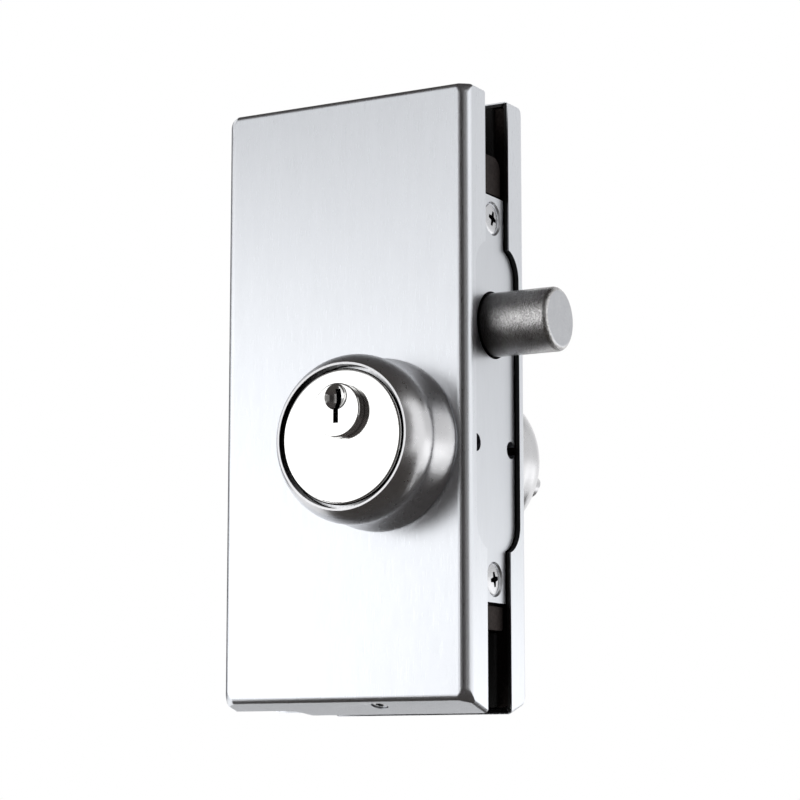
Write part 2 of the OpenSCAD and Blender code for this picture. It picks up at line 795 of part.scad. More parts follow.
// Pins of the plug: each has its own length, with a cone at the keyway end
module key_pins() {
    foot_z = plug_z - plug_r + 0.25;
    color("goldenrod") for (i = [0 : len(key_pin_ls) - 1])
        translate([cyl_x, pin_y(i), foot_z]) {
            cylinder(r = pin_r, h = key_pin_ls[i] - 1.2);
            translate([0, 0, key_pin_ls[i] - 1.2]) cylinder(r1 = pin_r, r2 = 0.5, h = 1.2);
        }
}

// Driver pins rest on the shear line, as they do with the key in
module driver_pins() {
    color("silver") for (i = [0 : len(key_pin_ls) - 1])
        translate([cyl_x, pin_y(i), plug_z - plug_r - 0.1 - driver_l])
            cylinder(r = pin_r, h = driver_l);
}

// Coil of round wire along Z between two heights, measured at the wire's middle
module coil(mean_r, wire_r, from_z, to_z, turns, steps, sides) {
    n = turns * steps;
    points = [for (i = [0 : n], j = [0 : sides - 1])
        let (a = 360 * i / steps, b = 360 * j / sides, r = mean_r + wire_r * cos(b))
            [r * cos(a), r * sin(a), from_z + (to_z - from_z) * i / n + wire_r * sin(b)]];
    wall = [for (i = [0 : n - 1], j = [0 : sides - 1], half = [0, 1])
        let (a = i * sides + j, b = i * sides + (j + 1) % sides)
            half == 0 ? [a, b, b + sides] : [a, b + sides, a + sides]];
    first = [for (j = [1 : sides - 2]) [0, j + 1, j]];
    last = [for (j = [1 : sides - 2]) [n * sides, n * sides + j, n * sides + j + 1]];
    polyhedron(points = points, faces = concat(wall, first, last));
}

module pin_springs() {
    top_z = plug_z - plug_r - 0.1 - driver_l;
    wire = 0.2;
    color("lightsteelblue") for (i = [0 : len(key_pin_ls) - 1])
        translate([cyl_x, pin_y(i), 0])
            coil(pin_r - wire - 0.1, wire, chamber_end_z + wire + 0.05, top_z - wire - 0.05, 6, 9, 4);
}

// Cam: a flat hub with one arm that points half a turn from upright towards the bolt
module cam() {
    along_y(-plug_end_y, -cam_in_y) translate([cyl_x, plug_z]) rotate(-half_turn) difference() {
        union() {
            circle(cam_hub_r);
            translate([0, cam_reach]) circle(nose_r);
            translate([-cam_arm_w / 2, 0]) square([cam_arm_w, cam_reach]);
        }
        for (s = [-1, 1]) translate([s * cam_screw_pitch, 0]) circle(cam_screw_r + 0.05);
    }
}

module cam_screws() {
    translate([cyl_x, 0, plug_z]) rotate([0, half_turn, 0]) for (s = [-1, 1]) {
        rod_y(s * cam_screw_pitch, 0, -plug_end_y - 5, -cam_in_y, cam_screw_r);
        difference() {
            rod_y(s * cam_screw_pitch, 0, -cam_in_y, -cam_in_y + cam_head_t, cam_head_r);
            translate([s * cam_screw_pitch - cam_head_r, -cam_in_y + cam_head_t / 2, -0.3])
                cube([2 * cam_head_r, cam_head_t, 0.6]);
        }
    }
}

module front_cam() {
    color("goldenrod") cam();
}

module back_cam() {
    color("goldenrod") on_back() cam();
}

module front_cam_screws() {
    color("slategray") cam_screws();
}

module back_cam_screws() {
    color("slategray") on_back() cam_screws();
}

// Half section of a collar: a flare from the cover to the waist, then a round bulge
// that leans in to the thin lip
module collar_section() {
    base_r = collar_d / 2;
    waist_r = waist_d / 2;
    bulge_r = (bulge_d - lip_d) / 2 / (1 - cos(lip_turn));
    bulge_h = collar_out - bulge_r * sin(lip_turn);
    waist_h = bulge_h - sqrt(pow(bulge_r, 2) - pow(waist_r - bulge_d / 2 + bulge_r, 2));
    flare = base_r - waist_r;
    flare_r = (flare * flare + pow(waist_h - collar_foot, 2)) / (2 * flare);
    difference() {
        union() {
            square([waist_r, bulge_h]);
            intersection() {
                translate([bulge_d / 2 - bulge_r, bulge_h]) circle(bulge_r, $fn = 128);
                square([bulge_d / 2 + 1, collar_out]);
            }
            difference() {
                square([base_r, waist_h]);
                translate([waist_r + flare_r, waist_h]) circle(flare_r, $fn = 256);
                polygon([[base_r - foot_chamfer, 0], [base_r, -eps], [base_r + eps, -eps],
                    [base_r + eps, foot_chamfer], [base_r, foot_chamfer]]);
            }
        }
        translate([0, collar_web_t]) square([collar_bore_r, collar_out]);
        translate([0, -eps]) square([cyl_r + 0.3, collar_out]);
    }
}

module collar() {
    translate([cyl_x, -face_y, cyl_z]) rotate([90, 0, 0]) rotate_extrude($fn = 96) collar_section();
}

module front_collar() {
    color("silver") collar();
}

module back_collar() {
    color("silver") on_back() collar();
}

// Ring that presses out against the cylinder head
module collar_ring() {
    translate([cyl_x, -face_y - ring_top + ring_t, cyl_z]) rotate([90, 0, 0]) difference() {
        cylinder(r = collar_bore_r - 0.2, h = ring_t);
        translate([0, 0, -eps]) cylinder(r = cyl_r + 0.3, h = ring_t + 2 * eps);
    }
}

module front_collar_ring() {
    color("darkgray") collar_ring();
}

module back_collar_ring() {
    color("darkgray") on_back() collar_ring();
}

module collar_spring() {
    mean_r = (collar_bore_r + cyl_r) / 2;
    translate([cyl_x, -face_y, cyl_z]) rotate([90, 0, 0])
        coil(mean_r, spring_wire_r, collar_web_t + spring_wire_r + 0.05,
            ring_top - ring_t - spring_wire_r - 0.05, 3, 24, 6);
}

module front_collar_spring() {
    color("lightsteelblue") collar_spring();
}

module back_collar_spring() {
    color("lightsteelblue") on_back() collar_spring();
}

module turn_plug() {
    color("silver") on_back() difference() {
        plug_blank();
        rod_y(cyl_x, plug_z, -plug_face_y - eps, -plug_face_y + turn_screw_in + 1,
            turn_screw_r + thread_gap);
    }
}

// Thumb-turn lever, seen along Y, with its tip half a turn below the bolt side
module thumb_turn() {
    tip_r = lever_w * 0.36;
    hub_r = plug_flange_r + 0.4;
    top_y = plug_face_y + lever_h;
    color("silver") difference() {
        union() {
            rod_y(cyl_x, plug_z, plug_face_y, plug_face_y + 2, hub_r);
            intersection() {
                translate([cyl_x, 0, plug_z]) rotate([0, half_turn, 0]) along_y(plug_face_y, top_y) {
                    circle(lever_w / 2);
                    translate([lever_l - tip_r, 0]) circle(tip_r);
                    polygon([[0, -lever_w / 2], [lever_l - tip_r, -tip_r],
                        [lever_l - tip_r, tip_r], [0, lever_w / 2]]);
                    translate([-hub_r + tip_r, 0]) circle(tip_r);
                    polygon([[0, -lever_w / 2], [tip_r - hub_r, -tip_r],
                        [tip_r - hub_r, tip_r], [0, lever_w / 2]]);
                }
                translate([cyl_x, 0, plug_z]) rotate([0, half_turn, 0])
                    translate([0, 0, -lever_w]) linear_extrude(2 * lever_w)
                        polygon([[-lever_l, plug_face_y], [lever_l - 2.5, plug_face_y],
                            [lever_l, plug_face_y + 2.5], [lever_l, top_y - 3], [lever_l - 3, top_y],
                            [-hub_r + 2, top_y], [-hub_r - 1, top_y - 3]]);
            }
        }
        rod_y(cyl_x, plug_z, plug_face_y - eps, top_y + eps, turn_screw_r + 0.1);
        translate([cyl_x, top_y - turn_head_t - 0.2, plug_z]) rotate([-90, 0, 0])
            cylinder(r1 = turn_screw_r + 0.1, r2 = turn_head_r + 0.2, h = turn_head_t + 0.21);
    }
}

module turn_screw() {
    top_y = plug_face_y + lever_h;
    color("slategray") difference() {
        union() {
            rod_y(cyl_x, plug_z, plug_face_y - turn_screw_in, top_y - turn_head_t - 0.1, turn_screw_r);
            translate([cyl_x, top_y - turn_head_t - 0.1, plug_z]) rotate([-90, 0, 0])
                cylinder(r1 = turn_screw_r, r2 = turn_head_r, h = turn_head_t);
        }
        translate([cyl_x, top_y - turn_head_t, plug_z]) rotate([-90, 0, 0])
            cylinder(r = 0.6 * turn_screw_r, h = turn_head_t + 1, $fn = 6);
    }
}

front_cover();
back_cover();
front_clamp_plate();
back_clamp_plate();
front_gasket();
back_gasket();
clamp_screws();
clamp_sleeves();
cover_screws();
lock_case();
case_lid();
lid_screws();
forend();
forend_screws();
cylinder_screws();
friction_spring();
deadbolt();
bolt_tail();
tail_screw();
front_cylinder();
key_plug();
key_pins();
driver_pins();
pin_springs();
front_cam();
front_cam_screws();
front_collar();
front_collar_ring();
front_collar_spring();
back_cylinder();
turn_plug();
thumb_turn();
turn_screw();
back_cam();
back_cam_screws();
back_collar();
back_collar_ring();
back_collar_spring();
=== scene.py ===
# %% [markdown]
# # A center lock for a glass door
#
# This lock clamps onto the edge of a frameless glass door. Two pressed stainless
# covers hide a cast case, a round bolt comes out of the forend between them, a key
# cylinder stands out of the front and a thumb-turn out of the back.
#
# The solid shapes come from the CAD model and are already in their places, in
# metres. What is made here is the finish of each piece, the small parts that the
# solids keep plain, the studio and the camera.

# %% Load the solid model
import math

import bmesh
import bpy
from mathutils import Matrix, Vector


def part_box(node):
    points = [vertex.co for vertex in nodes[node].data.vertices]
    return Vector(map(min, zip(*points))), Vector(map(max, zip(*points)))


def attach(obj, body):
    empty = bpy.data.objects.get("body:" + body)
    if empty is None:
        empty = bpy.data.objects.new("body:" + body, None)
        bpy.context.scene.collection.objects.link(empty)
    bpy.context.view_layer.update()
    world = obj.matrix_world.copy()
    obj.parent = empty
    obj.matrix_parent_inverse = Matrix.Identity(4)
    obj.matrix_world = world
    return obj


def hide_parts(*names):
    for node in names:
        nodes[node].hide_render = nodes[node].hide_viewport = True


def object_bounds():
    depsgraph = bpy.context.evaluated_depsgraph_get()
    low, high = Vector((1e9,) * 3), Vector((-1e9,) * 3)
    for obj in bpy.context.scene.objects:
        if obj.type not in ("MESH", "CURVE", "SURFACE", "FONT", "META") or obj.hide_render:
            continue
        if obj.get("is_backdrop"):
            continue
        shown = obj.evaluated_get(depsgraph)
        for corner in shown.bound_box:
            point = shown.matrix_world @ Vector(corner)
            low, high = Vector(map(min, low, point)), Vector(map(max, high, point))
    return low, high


MM = 0.001

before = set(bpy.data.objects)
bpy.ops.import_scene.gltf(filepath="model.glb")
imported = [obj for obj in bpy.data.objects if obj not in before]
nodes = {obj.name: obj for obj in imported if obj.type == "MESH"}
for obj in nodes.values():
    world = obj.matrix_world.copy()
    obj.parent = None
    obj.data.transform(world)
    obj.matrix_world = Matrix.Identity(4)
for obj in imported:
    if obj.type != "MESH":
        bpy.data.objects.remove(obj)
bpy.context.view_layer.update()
print("solid pieces:", len(nodes))


# %% [markdown]
# The camera comes first, because every later choice is judged through it. The
# photograph looks at the lock from the right and from below with a long lens, so the
# lock seems to float. The camera is described as a photographer would: how far round
# the object it stands, how far below it, how far away, and which lens it has. Lamps
# and cloths are placed by the same two angles later on.

# %% The photograph's viewpoint
AIM = Vector((5.98, 3.41, 1.96)) * MM
CAMERA_ROUND = 29.71
CAMERA_UP = -8.635
DISTANCE = 674.65 * MM
FOCAL_PIXELS = 2467.4
FRAME_PIXELS = 800
SENSOR_MM = 36.0


def direction(azimuth, elevation):
    """The unit vector that leads so many degrees round from the lock's front, and up."""
    a, e = math.radians(azimuth), math.radians(elevation)
    return Vector((math.sin(a) * math.cos(e), -math.cos(a) * math.cos(e), math.sin(e)))


def in_scene(name, data):
    """A new object in the scene."""
    made = bpy.data.objects.new(name, data)
    bpy.context.scene.collection.objects.link(made)
    return made


camera_data = bpy.data.cameras.new("photo_camera")
camera_data.sensor_width = SENSOR_MM
camera_data.lens = SENSOR_MM * FOCAL_PIXELS / FRAME_PIXELS
camera_data.clip_start = 0.05
camera_data.clip_end = 20.0
sight = -direction(CAMERA_ROUND, CAMERA_UP)
camera = in_scene("photo_camera", camera_data)
camera.location = AIM - sight * DISTANCE
camera.rotation_euler = sight.to_track_quat("-Z", "Y").to_euler()
bpy.context.scene.camera = camera
print("lens in mm:", round(camera_data.lens, 1))


# %% [markdown]
# Colours are written as sRGB hex, the way a paint chart or an image editor gives
# them, and one function turns them into the linear values that shaders use. A second
# small function adds any node with its settings and links, which keeps each material
# short enough to read.

# %% Colours, nodes and materials
def colour(code):
    """The linear colour of an sRGB hex code."""
    channels = [int(code[i:i + 2], 16) / 255 for i in (1, 3, 5)]
    linear = [c / 12.92 if c <= 0.04045 else ((c + 0.055) / 1.055) ** 2.4 for c in channels]
    return (*linear, 1.0)


def add(tree, kind, inputs=None, **settings):
    """A new node with its settings, its values and its links."""
    made = tree.nodes.new(kind)
    for name, value in settings.items():
        setattr(made, name, value)
    for name, value in (inputs or {}).items():
        if isinstance(value, bpy.types.NodeSocket):
            tree.links.new(value, made.inputs[name])
        else:
            made.inputs[name].default_value = value
    return made


def new_material(name):
    """An empty material and its node tree."""
    material = bpy.data.materials.new(name)
    material.use_nodes = True
    material.node_tree.nodes.clear()
    return material, material.node_tree


def dress(material, *names):
    """Gives CAD pieces one finish."""
    for name in names:
        piece = nodes[name]
        piece.data.materials.clear()
        piece.data.materials.append(material)
    print(material.name, "on", ", ".join(names))


print("the hex grey #808080 is", round(colour("#808080")[0], 3), "in linear light")


# %% [markdown]
# Every finish here is built from the same few steps: noise for what a tool or a mould
# leaves, a range that turns the noise into a shade or a dullness, a mix of two finishes
# by a mask, and a bump that lets light catch on the grain. Each step gets a short name,
# so a material reads like its recipe.

# %% Steps that the finishes share
METRE_MM = 1000
NOISE_SPAN = (0.3, 0.7)


def calc(tree, operation, *values):
    """One step of arithmetic on numbers or sockets."""
    return add(tree, "ShaderNodeMath", dict(enumerate(values)), operation=operation).outputs[0]


def where_all(tree, first, *others):
    """1 where every mask is 1."""
    for mask in others:
        first = calc(tree, "MULTIPLY", first, mask)
    return first


def noise(tree, place, scale, detail, roughness=0.5):
    """Noise with about this many grains in a metre."""
    return add(tree, "ShaderNodeTexNoise", {
        "Vector": place, "Scale": scale, "Detail": detail,
        "Roughness": roughness}).outputs["Fac"]


def ranged(tree, value, low, high, at_low=0.0, at_high=1.0, **settings):
    """Turns low into at_low, high into at_high, and what lies between in step."""
    return add(tree, "ShaderNodeMapRange", {
        "Value": value, "From Min": low, "From Max": high,
        "To Min": at_low, "To Max": at_high}, **settings).outputs[0]


def blend(tree, share, first, second, kind="RGBA"):
    """The first where the share is 0, the second where it is 1."""
    return add(tree, "ShaderNodeMix", {
        "Factor": share, "A": first, "B": second}, data_type=kind).outputs["Result"]


def relief(tree, height, strength, deep):
    """The normal of a surface whose height varies this deep."""
    return add(tree, "ShaderNodeBump", {
        "Height": height, "Strength": strength, "Distance": deep}).outputs[0]


def metal(tree, paint, dull, normal):
    """Ends a tree in a metal surface."""
    surface = add(tree, "ShaderNodeBsdfPrincipled", {
        "Base Color": paint, "Metallic": 1.0, "Roughness": dull, "Normal": normal})
    add(tree, "ShaderNodeOutputMaterial", {"Surface": surface.outputs[0]})


# %% [markdown]
# The covers are austenitic stainless sheet with a straight grain put on by an
# abrasive belt that runs up the face. The grain spreads each highlight sideways, so
# the metal looks soft and pale with fine upright streaks. The streaks are noise that
# is stretched along the height: a belt of about 180 grit leaves scratches near 0.08 mm
# apart, drawn here at 0.2 mm so that they show. A second, much broader layer stands for
# the uneven pressure of the belt.

# %% Brushed metal
GRAIN_DEPTH = 0.02 * MM
BROADER, LONGER = 14, 3
BROAD_SHARE = 0.35
# The dark grey of the slot's shade, painted on the cut edges
SLOT_SHADE_GREY = "#4a4a4b"
CUT_ROUGH = 0.55


def brushed_metal(name, base, rough, across_mm, along_mm, bump, streak, shade_mask=None):
    """Metal with a straight grain along Z, and painted shade in plain grey where its shade mask is
    1.
    """
    material, tree = new_material(name)
    position = add(tree, "ShaderNodeTexCoord").outputs["Object"]
    layers = []
    for wide, long, detail, roughness in ((1, 1, 3.0, 0.6), (BROADER, LONGER, 2.0, 0.5)):
        across, along = METRE_MM / (across_mm * wide), METRE_MM / (along_mm * long)
        stretched = add(tree, "ShaderNodeMapping", {
            "Vector": position, "Scale": (across, across, along)})
        layers.append(noise(tree, stretched.outputs[0], 1.0, detail, roughness))
    fine, broad = layers
    both = blend(tree, BROAD_SHARE, fine, broad, "FLOAT")
    shade = ranged(tree, both, *NOISE_SPAN, 1.0 - streak, 1.0 + streak)
    paint = add(tree, "ShaderNodeVectorMath", {0: colour(base)[:3], "Scale": shade},
                operation="SCALE").outputs[0]
    dull = ranged(tree, fine, 0.25, 0.75, rough - 0.05, rough + 0.06)
    # Where the shade mask is 1, the slot's shade is painted on as grey and the metal is made dull
    if shade_mask:
        mask = shade_mask(tree, position)
        paint = blend(tree, mask, paint, colour(SLOT_SHADE_GREY))
        dull = blend(tree, mask, dull, CUT_ROUGH, "FLOAT")
    metal(tree, paint, dull, relief(tree, fine, bump, GRAIN_DEPTH))
    return material


# %% [markdown]
# The rims and the cut-out for the forend were sheared, so their cut edges are dull. They face
# into the dark slot, and its shade is painted on them as a plain dark grey. Only the outer
# edge of a rim was rounded by the belt; it keeps the brushed finish and shows as a thin
# bright line. The cut faces could be picked one by one, but their place tells them just
# as well: those of the cut-out lie within the flange and face along it, and those of a
# rim are the faces nearest to the glass.

# %% Where the sheet was cut
cover_low, cover_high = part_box("back_cover")
RIM_Y = cover_low[1]
SIDE_X = cover_high[0]
RIM_MIDDLE_Z = (cover_low[2] + cover_high[2]) / 2
RIM_HALF_Z = (cover_high[2] - cover_low[2]) / 2
FOREND_HALF = 45 * MM
SHEET_T = 1.2 * MM
EDGE_ROUND = 0.35 * MM
MARGIN = 0.05 * MM
FACES_ALONG = 0.1


def shaded_rims_and_cutout(tree, position):
    """1 where shade is painted: on the cut edge round the forend and on the rims, but for their
    rounded outer edge.
    """
    parts = add(tree, "ShaderNodeSeparateXYZ", {0: position})
    facing = add(tree, "ShaderNodeSeparateXYZ", {
        0: add(tree, "ShaderNodeNewGeometry").outputs["True Normal"]})
    sideways = calc(tree, "ABSOLUTE", facing.outputs["X"])
    along = calc(tree, "LESS_THAN", sideways, FACES_ALONG)
    in_flange = calc(tree, "GREATER_THAN", parts.outputs["X"], SIDE_X - SHEET_T - MARGIN)
    height = calc(tree, "ABSOLUTE", parts.outputs["Z"])
    middle = calc(tree, "LESS_THAN", height, FOREND_HALF)
    depth = calc(tree, "ABSOLUTE", parts.outputs["Y"])
    behind = calc(tree, "GREATER_THAN", depth, RIM_Y + MARGIN)
    opening = where_all(tree, along, in_flange, behind, middle)
    nearest = calc(tree, "SUBTRACT", 1.0, behind)
    in_width = calc(tree, "COMPARE", parts.outputs["X"], 0.0, SIDE_X - EDGE_ROUND)
    in_height = calc(tree, "COMPARE", parts.outputs["Z"], RIM_MIDDLE_Z, RIM_HALF_Z - EDGE_ROUND)
    return calc(tree, "MAXIMUM", opening, where_all(tree, nearest, in_width, in_height))


stainless = brushed_metal(
    "brushed_stainless_sheet", "#eff2f7", rough=0.30, across_mm=0.2, along_mm=7.0,
    bump=0.3, streak=0.035, shade_mask=shaded_rims_and_cutout)
dress(stainless, "front_cover", "back_cover")
print("rims of the covers, in mm from the middle:", round(RIM_Y / MM, 2))

# %% [markdown]
# The forend is the same steel with a finer satin grain. It lies deeper, so it picks
# up the dark slot round it and looks a little bluer and greyer than the covers.

# %% Satin steel for the forend
satin_steel = brushed_metal(
    "satin_steel_plate", "#e8ebf0", rough=0.34, across_mm=0.18, along_mm=5.0,
    bump=0.3, streak=0.03)
dress(satin_steel, "forend")


# %% [markdown]
# The cylinder heads and plugs are brass under a polished nickel plate, which is
# close to a mirror: it shows the studio more than its own colour. A trace of
# unevenness keeps the reflections from looking drawn with a ruler. The key plug is
# rubbed by the keys, so it is a little duller.

# %% Polished nickel plate
# The colour of the shade painted in the collars' bores
BORE_SHADE = "#2b2826"


def smooth_metal(name, base, rough, ripple_mm, ripple, spread, bare=None):
    """Plated or turned metal with slow, faint unevenness, and painted shade where bare is 1."""
    material, tree = new_material(name)
    position = add(tree, "ShaderNodeTexCoord").outputs["Object"]
    waves = noise(tree, position, METRE_MM / ripple_mm, 2.0)
    dull = ranged(tree, waves, *NOISE_SPAN, max(0.0, rough - spread), rough + spread)
    paint = colour(base)
    # Painted shade where the mask is 1
    if bare:
        paint = blend(tree, bare(tree, position), paint, colour(BORE_SHADE))
    metal(tree, paint, dull, relief(tree, waves, ripple, GRAIN_DEPTH))
    return material


polished_nickel = smooth_metal(
    "polished_nickel_plate", "#fbfbfa", rough=0.11, ripple_mm=6.0, ripple=0.05, spread=0.02)
dress(polished_nickel, "front_cylinder", "back_cylinder", "turn_plug")
worn_nickel = smooth_metal(
    "worn_nickel_plate", "#f6f6f5", rough=0.15, ripple_mm=2.5, ripple=0.1, spread=0.04)
dress(worn_nickel, "key_plug")

# %% [markdown]
# The collars are turned from brass bar and plated with satin chrome. Their shine is
# blurred, which turns the studio's bright and dark areas into the broad soft bands
# that give the shape away. Little light reaches into their bores, and that shade is
# painted there as a near-black brown: it draws the black ring round the polished head.
# Whether a point lies in the bore follows from its distance to the axis.

# %% Satin chrome for the collars and the thumb-turn
COLLAR_BORE_R = 18.75 * MM
BORE_MARGIN = 0.1 * MM
LIP_DEPTH = 0.3 * MM


def painted_bore_shade(tree, position):
    """1 where shade is painted: in the bore of either collar, from just behind its lip."""
    low, high = map(Vector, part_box("front_collar"))
    axis = ((low.x + high.x) / 2, 0.0, (low.z + high.z) / 2)
    flat = add(tree, "ShaderNodeVectorMath", {0: position, 1: (1.0, 0.0, 1.0)},
               operation="MULTIPLY")
    away = add(tree, "ShaderNodeVectorMath", {0: flat.outputs[0], 1: axis},
               operation="DISTANCE")
    inside = calc(tree, "LESS_THAN", away.outputs["Value"], COLLAR_BORE_R + BORE_MARGIN)
    parts = add(tree, "ShaderNodeSeparateXYZ", {0: position})
    depth = calc(tree, "ABSOLUTE", parts.outputs["Y"])
    behind = calc(tree, "LESS_THAN", depth, -low.y - LIP_DEPTH)
    return where_all(tree, inside, behind)


SATIN = {"base": "#e2e2e4", "rough": 0.29, "ripple_mm": 1.2, "ripple": 0.03, "spread": 0.02}
satin_chrome = smooth_metal("satin_chrome_plate", bare=painted_bore_shade, **SATIN)
dress(satin_chrome, "front_collar", "back_collar")
satin_lever = smooth_metal("satin_chrome_lever", **SATIN)
dress(satin_lever, "thumb_turn")


# %% [markdown]
# The bolt is a steel casting that was tumbled and left plain: a mid grey with a soft
# shine and slightly pitted. Where its grains catch the light it glints, and those glints
# are painted into its colour as tiny white specks. The pits are noise in two sizes, and
# each speck is the middle of a Voronoi cell, which spreads them evenly without a pattern.

# %% A cast skin
PATCH_GRAINS = 9
SPECK_GRAINS = 1.6
SPECK_REACH = 0.35
PIT_DEPTH = 0.55
# The white of the glints painted on a cast skin
PAINTED_GLINT_WHITE = "#f4f4f4"
# The colour of the shade painted on the bolt's root
ROOT_SHADE = "#2a2625"
BARE_STEEL = "#d3d5da"


def cast_metal(name, base, light, rough, grain_mm, bump, speck, shaded_root=None, worn=None):
    """A cast skin with fine pits, bright specks of painted glints, painted shade by the given
    mask, and smooth where worn.
    """
    material, tree = new_material(name)
    position = add(tree, "ShaderNodeTexCoord").outputs["Object"]
    grain = noise(tree, position, METRE_MM / grain_mm, 4.0, 0.65)
    patches = noise(tree, position, METRE_MM / (grain_mm * PATCH_GRAINS), 2.0)
    mixed = blend(tree, 0.4, grain, patches, "FLOAT")
    paint = blend(tree, ranged(tree, mixed, 0.35, 0.68), colour(base), colour(light))
    # Painted glints: white specks at the middle of each cell
    cells = add(tree, "ShaderNodeTexVoronoi", {
        "Vector": position, "Scale": METRE_MM / (grain_mm * SPECK_GRAINS)})
    painted_glint = ranged(tree, cells.outputs["Distance"], 0.0, SPECK_REACH, speck, 0.0)
    paint = blend(tree, painted_glint, paint, colour(PAINTED_GLINT_WHITE))
    # Painted shade at the bolt's root
    if shaded_root:
        paint = blend(tree, shaded_root(tree, position), paint, colour(ROOT_SHADE))
    strength = bump
    if worn:
        mask = worn(tree, position)
        paint = blend(tree, mask, paint, colour(BARE_STEEL))
        strength = calc(tree, "MULTIPLY_ADD", mask, -bump, bump)
    metal(tree, paint, rough, relief(tree, mixed, strength, grain_mm * PIT_DEPTH * MM))
    return material


# %% [markdown]
# The shade at the bolt's root, where it comes out of the forend's hole, is painted on as a
# dark brown-grey, and the strike plate has rubbed its flat end bare and smooth. Both follow
# from how far along the bolt a point lies. They are measured on the bolt itself, so they
# travel with it when it is drawn back.

# %% Tumbled casting for the bolt
# How far along the bolt the painted shade reaches, and how dark it is at the root
ROOT_SHADE_LENGTH = 9 * MM
ROOT_SHADE_COVER = 0.95
END_STARTS, END_IS_FULL = 0.08 * MM, 0.02 * MM
END_WEAR = 0.85


def painted_root_shade(tree, position):
    """Painted shade: darkest where the thrown bolt leaves the forend, gone before half of what
    stands out.
    """
    parts = add(tree, "ShaderNodeSeparateXYZ", {0: position})
    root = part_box("forend")[1][0]
    return ranged(tree, parts.outputs["X"], root, root + ROOT_SHADE_LENGTH, ROOT_SHADE_COVER, 0.0,
                  interpolation_type="SMOOTHSTEP")


def end_face(tree, position):
    """How bare and smooth the bolt is: only its end."""
    parts = add(tree, "ShaderNodeSeparateXYZ", {0: position})
    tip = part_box("deadbolt")[1][0]
    return ranged(tree, parts.outputs["X"], tip - END_STARTS, tip - END_IS_FULL, 0.0, END_WEAR)


tumbled_steel = cast_metal(
    "tumbled_cast_steel", "#b6b4b5", "#ffffff", rough=0.2, grain_mm=0.52, bump=0.95,
    speck=0.85, shaded_root=painted_root_shade, worn=end_face)
dress(tumbled_steel, "deadbolt")

# %% [markdown]
# The case and the two clamp plates are die castings with a dark coating. Almost no
# light reaches them inside the slot, so they only need a quiet, nearly black skin.

# %% Dark castings
dark_casting = cast_metal(
    "dark_die_casting", "#35302f", "#4e4745", rough=0.6, grain_mm=0.9, bump=0.5, speck=0.0)
dress(dark_casting, "lock_case", "case_lid", "front_clamp_plate", "back_clamp_plate")


# %% [markdown]
# Small hardware: zinc-plated screws, a black oxide finish on the grub screws that
# lock the cylinders, spring steel, and brass pins and cams. They are small and mostly
# hidden, so one smooth metal with four colours and polishes does for them.

# %% Metals of the small parts
zinc_plate = smooth_metal(
    "zinc_plated_steel", "#dcdde0", rough=0.24, ripple_mm=0.8, ripple=0.12, spread=0.05)
# Black oxide for the grub screws; its dark grey also paints the shade in the forend screws'
# recesses
black_oxide_and_recess_shade = smooth_metal(
    "black_oxide_steel", "#3a3b3e", rough=0.35, ripple_mm=0.5, ripple=0.1, spread=0.05)
spring_steel = smooth_metal(
    "spring_steel_wire", "#a9adb3", rough=0.22, ripple_mm=0.6, ripple=0.08, spread=0.04)
yellow_brass = smooth_metal(
    "yellow_brass", "#d9b871", rough=0.24, ripple_mm=0.9, ripple=0.08, spread=0.05)
dress(zinc_plate, "clamp_screws", "cover_screws", "lid_screws", "forend_screws", "bolt_tail",
      "tail_screw", "front_cam_screws", "back_cam_screws", "turn_screw",
      "front_collar_ring", "back_collar_ring")
dress(black_oxide_and_recess_shade, "cylinder_screws")
dress(spring_steel, "friction_spring", "pin_springs", "front_collar_spring", "back_collar_spring")
dress(yellow_brass, "front_cam", "back_cam", "key_pins", "driver_pins")

# %% [markdown]
# The sleeves are nylon and the gaskets black rubber. They are not metals, so their
# colour comes from inside and their shine stays white. How strong it is follows from
# the refractive index.

# %% Rubber and nylon
POLYMER_GRAIN_DEPTH = 0.05 * MM
POLYMER_SPREAD = 0.08


def plain_polymer(name, base, rough, grain_mm, bump, ior):
    """A moulded polymer with a fine grain."""
    material, tree = new_material(name)
    position = add(tree, "ShaderNodeTexCoord").outputs["Object"]
    grain = noise(tree, position, METRE_MM / grain_mm, 3.0)
    dull = ranged(tree, grain, 0.0, 1.0, rough - POLYMER_SPREAD, rough + POLYMER_SPREAD)
    surface = add(tree, "ShaderNodeBsdfPrincipled", {
        "Base Color": colour(base), "Roughness": dull, "IOR": ior,
        "Normal": relief(tree, grain, bump, POLYMER_GRAIN_DEPTH)})
    add(tree, "ShaderNodeOutputMaterial", {"Surface": surface.outputs[0]})
    return material


black_rubber = plain_polymer(
    "black_rubber_sheet", "#141414", rough=0.75, grain_mm=0.5, bump=0.3, ior=1.52)
white_nylon = plain_polymer(
    "natural_nylon", "#dcdad2", rough=0.45, grain_mm=0.7, bump=0.15, ior=1.53)
dress(black_rubber, "front_gasket", "back_gasket")
dress(white_nylon, "clamp_sleeves")

# %% [markdown]
# A coil spring is one round wire wound into a helix. The solids keep it coarse. Here
# a small node tree winds it: a spiral curve, a circle carried along it, and a row of
# points for the springs that stand side by side under the driver pins. The same tree
# makes all three sets, with other numbers.

# %% A node tree that winds springs
def new_tree(name, sockets):
    """A geometry tree with named inputs and one output."""
    tree = bpy.data.node_groups.new(name, "GeometryNodeTree")
    for socket, kind in sockets:
        tree.interface.new_socket(socket, in_out="INPUT", socket_type=kind)
    tree.interface.new_socket("Geometry", in_out="OUTPUT", socket_type="NodeSocketGeometry")
    return tree


